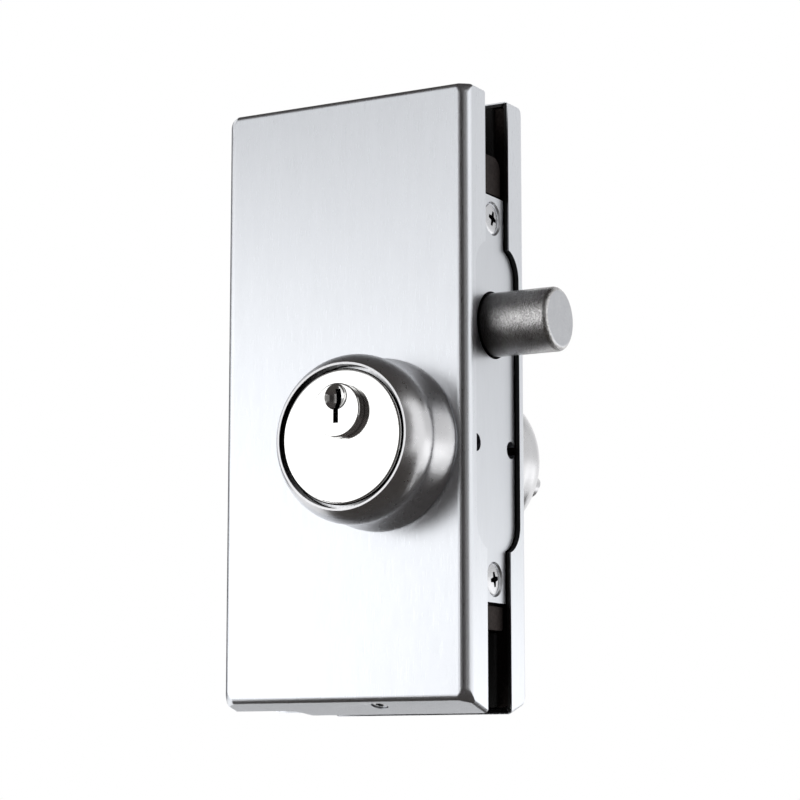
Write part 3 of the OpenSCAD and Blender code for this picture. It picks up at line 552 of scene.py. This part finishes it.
def finish_tree(tree, geometry, material, hollow=None):
    """Ends a tree in real faces with their material, and with another one, which paints shade,
    where a form is hollow.
    """
    real = add(tree, "GeometryNodeRealizeInstances", {"Geometry": geometry})
    painted = add(tree, "GeometryNodeSetMaterial", {
        "Geometry": real.outputs[0], "Material": material})
    if hollow:
        marked = add(tree, "GeometryNodeInputNamedAttribute", {"Name": "hollow"},
                     data_type="BOOLEAN")
        painted = add(tree, "GeometryNodeSetMaterial", {
            "Geometry": painted.outputs[0], "Selection": marked.outputs["Attribute"],
            "Material": hollow})
    add(tree, "NodeGroupOutput", {"Geometry": painted.outputs[0]})


springs = new_tree("wound_springs", [
    ("Turns", "NodeSocketFloat"), ("Mean radius", "NodeSocketFloat"),
    ("Height", "NodeSocketFloat"), ("Wire radius", "NodeSocketFloat"),
    ("Springs", "NodeSocketInt"), ("Pitch", "NodeSocketVector")])
asked = add(springs, "NodeGroupInput")
helix = add(springs, "GeometryNodeCurveSpiral", {
    "Resolution": 36, "Rotations": asked.outputs["Turns"], "Height": asked.outputs["Height"],
    "Start Radius": asked.outputs["Mean radius"], "End Radius": asked.outputs["Mean radius"]})
wire = add(springs, "GeometryNodeCurvePrimitiveCircle", {
    "Resolution": 12, "Radius": asked.outputs["Wire radius"]}, mode="RADIUS")
wound = add(springs, "GeometryNodeCurveToMesh", {
    "Curve": helix.outputs[0], "Profile Curve": wire.outputs[0], "Fill Caps": True})
row = add(springs, "GeometryNodeMeshLine", {
    "Count": asked.outputs["Springs"], "Offset": asked.outputs["Pitch"]})
stand = add(springs, "GeometryNodeInstanceOnPoints", {
    "Points": row.outputs[0], "Instance": wound.outputs[0]})
finish_tree(springs, stand.outputs[0], spring_steel)
print("nodes that wind a spring:", len(springs.nodes))


# %% Growing a piece from a tree
SHARP_ANGLE = math.radians(35)


def with_modifiers(piece):
    """The mesh of a piece with its modifiers worked in."""
    graph = bpy.context.evaluated_depsgraph_get()
    mesh = bpy.data.meshes.new_from_object(piece.evaluated_get(graph))
    piece.modifiers.clear()
    return mesh


def grow(name, tree, values, body, stands_for, place):
    """Runs a tree, keeps its mesh in its place, and lets it stand for a CAD piece."""
    host = in_scene(name + "_host", bpy.data.meshes.new(name + "_host"))
    modifier = host.modifiers.new("grow", "NODES")
    modifier.node_group = tree
    for item in tree.interface.items_tree:
        if item.item_type == "SOCKET" and item.name in values:
            modifier[item.identifier] = values[item.name]
    mesh = with_modifiers(host)
    bpy.data.objects.remove(host)
    mesh.transform(place)
    mesh.shade_smooth()
    mesh.set_sharp_from_angle(angle=SHARP_ANGLE)
    piece = in_scene(name, mesh)
    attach(piece, body)
    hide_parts(stands_for)
    print(name, "has", len(mesh.polygons), "faces")


# %% The springs in their places
COLLAR_WIRE = 0.8 * MM
for side, node, turn in ((-1, "front_collar_spring", 90), (1, "back_collar_spring", -90)):
    low, high = map(Vector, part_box(node))
    middle = (low + high) / 2
    base_y = high.y if side < 0 else low.y
    grow(node + "_wound", springs, {
        "Turns": 3.0, "Mean radius": (high.x - low.x) / 2 - COLLAR_WIRE,
        "Height": high.y - low.y - 2 * COLLAR_WIRE, "Wire radius": COLLAR_WIRE, "Springs": 1,
        "Pitch": (0.0, 0.0, 0.0)}, "lock", node,
        Matrix.Translation((middle.x, base_y + side * COLLAR_WIRE, middle.z))
        @ Matrix.Rotation(math.radians(turn), 4, "X"))

PIN_WIRE = 0.2 * MM
PIN_SPRINGS = 5
low, high = map(Vector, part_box("pin_springs"))
pin_spring_r = (high.x - low.x) / 2
grow("pin_springs_wound", springs, {
    "Turns": 8.0, "Mean radius": pin_spring_r - PIN_WIRE, "Height": high.z - low.z - 2 * PIN_WIRE,
    "Wire radius": PIN_WIRE, "Springs": PIN_SPRINGS,
    "Pitch": (0.0, (high.y - low.y - 2 * pin_spring_r) / (PIN_SPRINGS - 1), 0.0)},
    "lock", "pin_springs",
    Matrix.Translation((low.x + pin_spring_r, low.y + pin_spring_r, low.z + PIN_WIRE)))


# %% [markdown]
# The forend is held by two countersunk screws with a cross recess. Their heads are
# turned with a slight crown and a rounded rim, and the recess is pressed in with
# walls that lean, so it narrows downwards. The recess lies in shade, and that shade is
# painted on its walls in the dark grey of the black oxide. One head is made by
# subtracting a tapered cross from a turned profile; a tree then puts it on both places,
# each turned as the screwdriver left it.

# %% Turned forms
def as_object(name, shape):
    """A new object in the scene with the faces of a bmesh, which is freed."""
    mesh = bpy.data.meshes.new(name)
    shape.to_mesh(mesh)
    shape.free()
    return in_scene(name, mesh)


def turned(name, outline, sides):
    """A closed solid of revolution about Z from (radius, height) pairs."""
    shape = bmesh.new()
    rings = []
    for radius, height in outline:
        if radius == 0.0:
            rings.append([shape.verts.new((0, 0, height))])
        else:
            rings.append([shape.verts.new((radius * math.cos(a), radius * math.sin(a), height))
                          for a in (2 * math.pi * k / sides for k in range(sides))])
    for upper, lower in zip(rings, rings[1:]):
        for k in range(sides):
            n = (k + 1) % sides
            if len(upper) == 1:
                shape.faces.new((upper[0], lower[k], lower[n]))
            elif len(lower) == 1:
                shape.faces.new((upper[k], lower[0], upper[n]))
            else:
                shape.faces.new((upper[k], lower[k], lower[n], upper[n]))
    bmesh.ops.recalc_face_normals(shape, faces=shape.faces)
    return as_object(name, shape)


# %% The blank of a screw
FORM_SIDES = 48
SHANK_R = 2.1 * MM
CONE_END = -2.4 * MM
HEAD_PROFILE_MM = [
    (0.0, 0.42), (0.9, 0.405), (1.8, 0.36), (2.6, 0.29), (3.3, 0.19), (3.8, 0.09), (4.05, 0.0),
    (4.2, -0.1), (4.25, -0.22), (4.15, -0.38)]
WIDEST_MM = max(radius for radius, height in HEAD_PROFILE_MM)
CROWN_MM = HEAD_PROFILE_MM[0][1]

screws_low, screws_high = map(Vector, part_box("forend_screws"))
head_r = (screws_high.y - screws_low.y) / 2
screw_length = screws_high.x - screws_low.x
profile = [(radius / WIDEST_MM * head_r, (height - CROWN_MM) * MM)
           for radius, height in HEAD_PROFILE_MM]
profile += [(SHANK_R, CONE_END), (SHANK_R, -screw_length), (0.0, -screw_length)]
screw_form = turned("cross_head_screw_form", profile, FORM_SIDES)
screw_form.data.materials.append(zinc_plate)
print("head of a forend screw, in mm across:", round(2 * head_r / MM, 2))


# %% The cross that is pressed in
CROSS_ABOVE = 0.6 * MM
CROSS_HOLLOW = 1.5


def tapered_cross(name, reach, half, depth, foot):
    """A cross that stands on its narrow end, for cutting a driver recess."""
    shape = bmesh.new()
    star = []
    for k in range(4):
        a = math.pi / 2 * k
        for x, y in ((reach, -half), (reach, half), (half * CROSS_HOLLOW, half * CROSS_HOLLOW)):
            star.append((x * math.cos(a) - y * math.sin(a), x * math.sin(a) + y * math.cos(a)))
    top = [shape.verts.new((x, y, CROSS_ABOVE)) for x, y in star]
    bottom = [shape.verts.new((x * foot, y * foot, -depth)) for x, y in star]
    shape.faces.new(top)
    shape.faces.new(list(reversed(bottom)))
    for k in range(len(star)):
        n = (k + 1) % len(star)
        shape.faces.new((top[n], top[k], bottom[k], bottom[n]))
    bmesh.ops.recalc_face_normals(shape, faces=shape.faces)
    return as_object(name, shape)


recess_form = tapered_cross(
    "cross_recess_form", reach=2.3 * MM, half=0.52 * MM, depth=2.3 * MM, foot=0.5)
# The recess's faces take the dark grey as painted shade
recess_form.data.materials.append(black_oxide_and_recess_shade)
cut = screw_form.modifiers.new("recess", "BOOLEAN")
cut.object = recess_form
cut.operation = "DIFFERENCE"
cut.solver = "EXACT"
cut.material_mode = "TRANSFER"
screw_mesh = with_modifiers(screw_form)
for used in (screw_form, recess_form):
    bpy.data.objects.remove(used)
hollow = screw_mesh.attributes.new("hollow", "BOOLEAN", "FACE")
for face in screw_mesh.polygons:
    hollow.data[face.index].value = screw_mesh.materials[face.material_index] == black_oxide_and_recess_shade
print("screw form has", len(screw_mesh.polygons), "faces")

# %% Both forend screws
FIRST_TURN, TURN_MORE = math.radians(12), math.radians(-26)
screws = new_tree("screws_in_a_row", [
    ("Form", "NodeSocketObject"), ("Screws", "NodeSocketInt"), ("Pitch", "NodeSocketVector"),
    ("First turn", "NodeSocketFloat"), ("Turn more", "NodeSocketFloat")])
asked = add(screws, "NodeGroupInput")
form = add(screws, "GeometryNodeObjectInfo", {
    "Object": asked.outputs["Form"], "As Instance": True})
row = add(screws, "GeometryNodeMeshLine", {
    "Count": asked.outputs["Screws"], "Offset": asked.outputs["Pitch"]})
number = add(screws, "GeometryNodeInputIndex")
angle = calc(screws, "MULTIPLY_ADD", number.outputs[0], asked.outputs["Turn more"],
             asked.outputs["First turn"])
about = add(screws, "ShaderNodeCombineXYZ", {"Z": angle})
placed = add(screws, "GeometryNodeInstanceOnPoints", {
    "Points": row.outputs[0], "Instance": form.outputs["Geometry"], "Rotation": about.outputs[0]})
finish_tree(screws, placed.outputs[0], zinc_plate, black_oxide_and_recess_shade)
screw_form = bpy.data.objects.new("cross_head_screw", screw_mesh)
grow("forend_screws_crowned", screws, {
    "Form": screw_form, "Screws": 2,
    "Pitch": (-(screws_high.z - screws_low.z - 2 * head_r), 0.0, 0.0),
    "First turn": FIRST_TURN, "Turn more": TURN_MORE}, "lock", "forend_screws",
    Matrix.Translation((
        screws_high.x, (screws_low.y + screws_high.y) / 2, screws_low.z + head_r))
    @ Matrix.Rotation(math.radians(90), 4, "Y"))
bpy.data.objects.remove(screw_form)


# %% [markdown]
# Each cover is folded from sheet. Its four corners are welded and ground: round at the
# face, where a hand would touch them, and nearly square from there back to the rim.
# The grinding is repeated here as it is done in the shop: a former has the finished
# corners and is a hair larger than the cover everywhere else, and what stands out of it
# is taken off.

# %% How the corners and the bends run
FACE_CORNER_R = 3.8 * MM
RIM_CORNER_R = 1.0 * MM
GROUND_FROM, GROUND_TO = 0.8 * MM, 3.6 * MM
SIDE_BEND_R = 3.2 * MM
END_BEND_R = 1.6 * MM
BOTTOM_LEAN = 3.4 * MM
BEND_STEPS = 12


def bend_inset(radius, deep):
    """How far a bend of that radius stands in from its flange, at a depth behind the face."""
    return radius - math.sqrt(radius ** 2 - max(radius - deep, 0.0) ** 2)


def corner_radius(deep):
    """The radius of the ground corners at a depth behind the face."""
    share = min(max((deep - GROUND_FROM) / (GROUND_TO - GROUND_FROM), 0.0), 1.0)
    return FACE_CORNER_R + (RIM_CORNER_R - FACE_CORNER_R) * share * share * (3 - 2 * share)


bend_depths = [SIDE_BEND_R * (1 - math.cos(math.pi / 2 * k / BEND_STEPS))
               for k in range(BEND_STEPS + 1)]
print("corner radius in mm at the face and at the rim:",
      [round(corner_radius(deep) / MM, 2) for deep in (0.0, GROUND_TO)])


# %% The former that rounds a cover's corners
CLEAR = 0.02 * MM
PAST_RIM = 1 * MM
CORNER_STEPS = 12


def corner_former(name, side):
    """A solid box with round corners that fits round the front (-1) or back cover (1)."""
    low, high = map(Vector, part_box("front_cover"))
    depth = high.y - low.y
    lean = math.atan(BOTTOM_LEAN / depth)

    def flange(deep):
        return low.z + BOTTOM_LEAN * (1 - deep / depth)

    def foot(deep):
        if deep >= END_BEND_R * (1 - math.sin(lean)):
            return flange(deep)
        centre = flange(END_BEND_R) + END_BEND_R / math.cos(lean)
        return centre - math.sqrt(END_BEND_R ** 2 - (END_BEND_R - deep) ** 2)

    shape = bmesh.new()
    rings = []
    for deep in bend_depths + [GROUND_TO, depth + PAST_RIM]:
        corner_r = corner_radius(deep)
        half = corner_r - bend_inset(SIDE_BEND_R, deep) + CLEAR
        above = corner_r - bend_inset(END_BEND_R, deep) + CLEAR
        below = corner_r - foot(deep) + flange(deep) + CLEAR
        ring = []
        for quarter, (sx, sz) in enumerate(((1, 1), (-1, 1), (-1, -1), (1, -1))):
            centre_x = sx * (high.x - corner_r)
            centre_z = high.z - corner_r if sz > 0 else flange(deep) + corner_r
            reach = above if sz > 0 else below
            for k in range(CORNER_STEPS + 1):
                a = math.pi / 2 * (quarter + k / CORNER_STEPS)
                ring.append(shape.verts.new((
                    centre_x + half * math.cos(a), side * (-low.y - deep + CLEAR),
                    centre_z + reach * math.sin(a))))
        rings.append(ring)
    shape.faces.new(rings[0])
    shape.faces.new(rings[-1])
    for near, far in zip(rings, rings[1:]):
        for k in range(len(near)):
            n = (k + 1) % len(near)
            shape.faces.new((near[k], near[n], far[n], far[k]))
    bmesh.ops.recalc_face_normals(shape, faces=shape.faces)
    return as_object(name, shape)


# %% Both covers with ground corners
DOUBLED = 0.001 * MM


def merged(node):
    """The faces of a CAD piece, with its doubled points merged."""
    solid = bmesh.new()
    solid.from_mesh(nodes[node].data)
    bmesh.ops.remove_doubles(solid, verts=solid.verts, dist=DOUBLED)
    return solid


def take_place(piece, node):
    """Shades a reworked piece evenly up to its sharp edges and lets it stand for its CAD piece."""
    even = piece.modifiers.new("even_shading", "WEIGHTED_NORMAL")
    even.keep_sharp = True
    piece.data = with_modifiers(piece)
    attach(piece, "lock")
    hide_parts(node)
    print(node, "has", len(nodes[node].data.polygons), "faces, reworked", len(piece.data.polygons))


for side, node in ((-1, "front_cover"), (1, "back_cover")):
    ground = as_object(node + "_ground", merged(node))
    ground.data.materials.append(stainless)
    former = corner_former(node + "_former", side)
    cut = ground.modifiers.new("corners", "BOOLEAN")
    cut.object = former
    cut.operation = "INTERSECT"
    cut.solver = "EXACT"
    ground.data = with_modifiers(ground)
    bpy.data.objects.remove(former)
    ground.data.shade_smooth()
    ground.data.set_sharp_from_angle(angle=SHARP_ANGLE)
    take_place(ground, node)


# %% [markdown]
# A collar's outline is two arcs that meet at the waist. The turning tool has a round
# nose, so the real waist is a small hollow and no crease: the ring of points there is
# moved out a little, and the shading runs on across it. The edges that stay sharp are
# chosen by the angle between their two faces.

# %% Both collars with a hollow waist
WAIST_OUT = 9.9 * MM
WAIST_R = 21.8 * MM
WAIST_FILL = 0.055 * MM
NEAR = 0.1 * MM
COLLAR_SHARP_ANGLE = math.radians(40)
for node in ("front_collar", "back_collar"):
    low, high = map(Vector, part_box(node))
    axis = Vector(((low.x + high.x) / 2, 0.0, (low.z + high.z) / 2))
    waist_y = min(abs(low.y), abs(high.y)) + WAIST_OUT
    solid = merged(node)
    moved = 0
    for point in solid.verts:
        away = Vector((point.co.x, 0.0, point.co.z)) - axis
        if abs(abs(point.co.y) - waist_y) < NEAR and away.length > WAIST_R - NEAR:
            point.co += away.normalized() * WAIST_FILL
            moved += 1
    for edge in solid.edges:
        edge.smooth = edge.calc_face_angle(0.0) < COLLAR_SHARP_ANGLE
    for face in solid.faces:
        face.smooth = True
    collar = as_object(node + "_turned", solid)
    collar.data.materials.append(satin_chrome)
    print(node, "has its waist at", round(waist_y / MM, 2), "mm, points moved:", moved)
    take_place(collar, node)


# %% [markdown]
# The studio is a white room. Metal has no colour of its own to speak of, so the
# white that it reflects must be there: the world is white to the camera and to
# reflections, and dimmer as fill light.

# %% The world
FILL = 0.6
WHITE = colour("#ffffff")
world = bpy.data.worlds.new("white_room")
bpy.context.scene.world = world
world.use_nodes = True
sky = world.node_tree
sky.nodes.clear()


def seen_directly(tree):
    """1 for rays of the camera, of reflections and of glass, 0 for diffuse light."""
    rays = add(tree, "ShaderNodeLightPath")
    either = calc(tree, "MAXIMUM", rays.outputs["Is Camera Ray"], rays.outputs["Is Glossy Ray"])
    return calc(tree, "MAXIMUM", either, rays.outputs["Is Transmission Ray"])


fill = add(sky, "ShaderNodeBackground", {"Color": WHITE, "Strength": FILL})
white = add(sky, "ShaderNodeBackground", {"Color": WHITE, "Strength": 1.0})
choose = add(sky, "ShaderNodeMixShader", {
    0: seen_directly(sky), 1: fill.outputs[0], 2: white.outputs[0]})
add(sky, "ShaderNodeOutputWorld", {"Surface": choose.outputs[0]})
print("fill light, as a part of white:", FILL)


# %% [markdown]
# The floor closes the room below the lock. It is plain white to the camera and in
# reflections, so no horizon shows, and matt to diffuse light, so that the lock's
# underside gets soft light from it.

# %% The floor
def card(name, centre, facing, width, height, material):
    """A flat rectangle of the studio that faces a direction."""
    corners = [(-width / 2, -height / 2), (width / 2, -height / 2),
               (width / 2, height / 2), (-width / 2, height / 2)]
    turn = Vector(facing).to_track_quat("Z", "Y")
    points = [turn @ Vector((x, y, 0)) + Vector(centre) for x, y in corners]
    mesh = bpy.data.meshes.new(name)
    mesh.from_pydata(points, [], [(0, 1, 2, 3)])
    mesh.materials.append(material)
    made = in_scene(name, mesh)
    made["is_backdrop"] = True
    return made


FLOOR_Z = -0.32
FLOOR_SIDE = 8.0
floor_white, tree = new_material("white_floor")
matt = add(tree, "ShaderNodeBsdfDiffuse", {"Color": colour("#f2f2f2")})
glow = add(tree, "ShaderNodeEmission", {"Color": WHITE, "Strength": 1.0})
choose = add(tree, "ShaderNodeMixShader", {
    0: seen_directly(tree), 1: matt.outputs[0], 2: glow.outputs[0]})
add(tree, "ShaderNodeOutputMaterial", {"Surface": choose.outputs[0]})
card("floor", (0, 0, FLOOR_Z), (0, 0, 1), FLOOR_SIDE, FLOOR_SIDE, floor_white)
print("the floor lies", -FLOOR_Z, "m under the lock's middle")


# %% [markdown]
# A mirror in an all-white room looks white all over and has no shape. The dark lines
# and bands of the photograph are cloths that hang round the lock. Only reflections see
# them, so they take no light away and stay out of the picture. Each one hangs where a
# surface that is dark in the photograph looks: the bends at the right edges and the
# near side of the collar mirror those behind the camera and at its right, the top edges
# the one overhead, the bolt, the collar's foot and the shade beside the collar those on
# the table, and the left rims the one behind at the left. The last two are pale and
# take a little white from the top of the face and from the side flanges.

# %% Cloths for the reflections
def cloth(name, azimuth, elevation, distance, width, height, shade, shift=(0, 0, 0)):
    """A cloth round the object, at a direction from it, that only reflections see."""
    towards = direction(azimuth, elevation)
    material, tree = new_material(name)
    even = add(tree, "ShaderNodeEmission", {"Color": colour(shade), "Strength": 1.0})
    add(tree, "ShaderNodeOutputMaterial", {"Surface": even.outputs[0]})
    made = card(name, towards * distance + Vector(shift), -towards, width, height, material)
    made.visible_camera = False
    made.visible_diffuse = False
    made.visible_shadow = False
    made.visible_transmission = False
    print(name, "is", width, "by", height, "m")


# Each line says degrees round and up, then metres away, wide and high, and the shade
TABLE_DOWN = 0.31
cloth("cloth_behind_camera", 22, 0, 1.5, 0.95, 3.6, "#302e2d")
cloth("cloth_round_camera", 27, 0, 1.55, 2.3, 3.6, "#787675")
cloth("cloth_beside_right", 72, 8, 1.6, 0.5, 1.6, "#848382")
cloth("cloth_overhead", 0, 90, 0.9, 2.0, 2.0, "#423f3e")
cloth("cloth_on_table", 0, -90, TABLE_DOWN, 1.53, 0.75, "#423f3d", shift=(0.485, -0.125, 0))
cloth("cloth_under_camera", 0, -90, TABLE_DOWN, 1.75, 0.94, "#3e3a39", shift=(0.375, -0.97, 0))
cloth("cloth_far_table", 0, -90, TABLE_DOWN, 0.57, 0.48, "#4a4846", shift=(0.165, 0.56, 0))
cloth("cloth_behind_left", -125, 0, 1.6, 2.4, 1.5, "#5c5c5c")
cloth("cloth_above_lamp", -50, 30, 1.6, 1.4, 0.9, "#b8b8b8")
cloth("cloth_behind_right", 150, 28, 1.6, 1.6, 1.4, "#dadada")


# %% [markdown]
# One large soft lamp stands at the left, where the face and the polished cylinder
# head mirror it. Its upper edge is low, so the face is brightest at its foot and gets
# darker upwards. A smaller lamp behind the lock lights the side that the bolt comes out
# of. A lamp lets what is behind it shine through, so the white room adds to its light
# and a part of white is enough.

# %% Lamps
def softbox(name, azimuth, elevation, distance, wide, high, part):
    """An area lamp that points at the lock and adds about this part of white in a mirror."""
    towards = direction(azimuth, elevation)
    data = bpy.data.lights.new(name, "AREA")
    data.shape = "RECTANGLE"
    data.size = wide
    data.size_y = high
    data.energy = part * math.pi * wide * high
    lamp = in_scene(name, data)
    lamp.location = towards * distance
    lamp.rotation_euler = (-towards).to_track_quat("-Z", "Y").to_euler()
    print(name, "gives", round(data.energy, 1), "W")


# Each line says degrees round and up, then metres away, wide and high, and the part of white
softbox("left_softbox", -50, -8, 1.5, 1.4, 1.2, 0.45)
softbox("right_softbox", 140, -8, 1.5, 0.9, 0.5, 0.4)

# %% Finish
bpy.context.scene.view_settings.view_transform = "Standard"
low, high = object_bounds()
print("dressed box in mm:", [[round(v / MM, 1) for v in corner] for corner in (low, high)])
